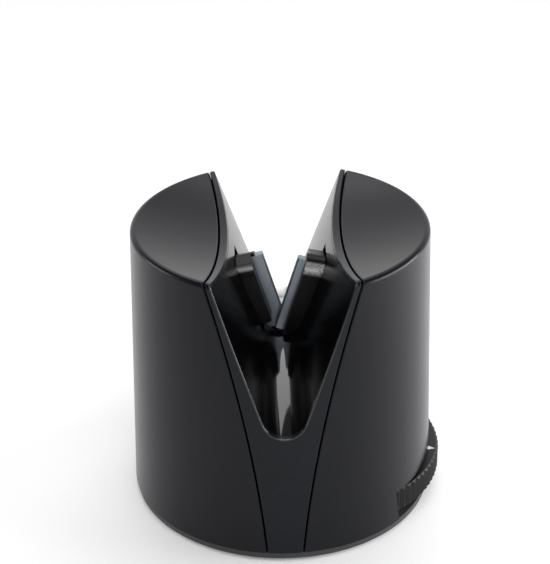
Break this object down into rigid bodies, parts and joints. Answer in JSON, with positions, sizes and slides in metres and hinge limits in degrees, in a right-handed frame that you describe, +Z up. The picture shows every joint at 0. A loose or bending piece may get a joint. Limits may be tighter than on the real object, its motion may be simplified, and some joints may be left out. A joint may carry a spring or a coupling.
{
  "type": "manual knife sharpener",
  "caption": "Squat round knife sharpener with a saddle-shaped V notch, crossed blades on two arms and a thumbwheel that sets their angle.",
  "frame": {"origin": "middle of the face that the rubber foot rests on", "axes": "+Z up, -Y to the front of the picture, +X to the side where the thumbwheel shows"},
  "size_m": [0.0695, 0.0674, 0.0643],
  "materials": {
    "charcoal_shell": "satin, fine grain",
    "trim_gray": "satin",
    "gloss_black": "polished",
    "black_plastic": "moulded",
    "blade_carbide": "ground",
    "pin_steel": "turned",
    "spring_steel": "rolled",
    "screw_steel": "zinc plated",
    "white_acetal": "moulded",
    "inner_plastic": "moulded",
    "foot_rubber": "matt"
  },
  "bodies": {
    "housing": {"left_side_shell": "charcoal_shell", "right_side_shell": "charcoal_shell", "center_housing": "trim_gray", "notch_liner": "gloss_black", "mechanism_deck": "inner_plastic", "arm_pivot_pin": "pin_steel", "pivot_pin_clips": "spring_steel", "arm_return_springs": "spring_steel", "wheel_axle": "pin_steel", "wheel_thrust_washer": "white_acetal", "axle_screw": "screw_steel", "detent_spring": "spring_steel", "detent_screw": "screw_steel", "base_plate": "inner_plastic", "foot_pad": "foot_rubber", "deck_screws": "screw_steel", "base_screws": "screw_steel", "liner_screws": "screw_steel"},
    "thumbwheel": {"thumbwheel": "black_plastic"},
    "lifter": {"lifter": "white_acetal"},
    "right_arm": {"right_arm": "black_plastic", "right_blade": "blade_carbide"},
    "left_arm": {"left_arm": "black_plastic", "left_blade": "blade_carbide"}
  },
  "joints": [
    {"name": "wheel_turn", "type": "hinge", "parent": "housing", "child": "thumbwheel", "pos_m": [0.0083, 0, 0.00675], "axis": [0, 0, 1], "range_deg": [-135, 135], "deforming": ["detent_spring"]},
    {"name": "lifter_slide", "type": "slide", "parent": "housing", "child": "lifter", "axis": [0, 0, 1], "range_m": [-0.00183, 0.00183], "deforming": ["arm_return_springs"]},
    {"name": "right_arm_pivot", "type": "hinge", "parent": "housing", "child": "right_arm", "pos_m": [0, 0, 0.0332], "axis": [0, 1, 0], "range_deg": [-3.01, 3.01]},
    {"name": "left_arm_pivot", "type": "hinge", "parent": "housing", "child": "left_arm", "pos_m": [0, 0, 0.0332], "axis": [0, -1, 0], "range_deg": [-3.01, 3.01]}
  ],
  "couplings": [
    {"joint": "lifter_slide", "follows": "wheel_turn", "m_per_rad": -0.00077068},
    {"joint": "right_arm_pivot", "follows": "wheel_turn", "ratio": -0.022222},
    {"joint": "left_arm_pivot", "follows": "wheel_turn", "ratio": -0.022222}
  ]
}
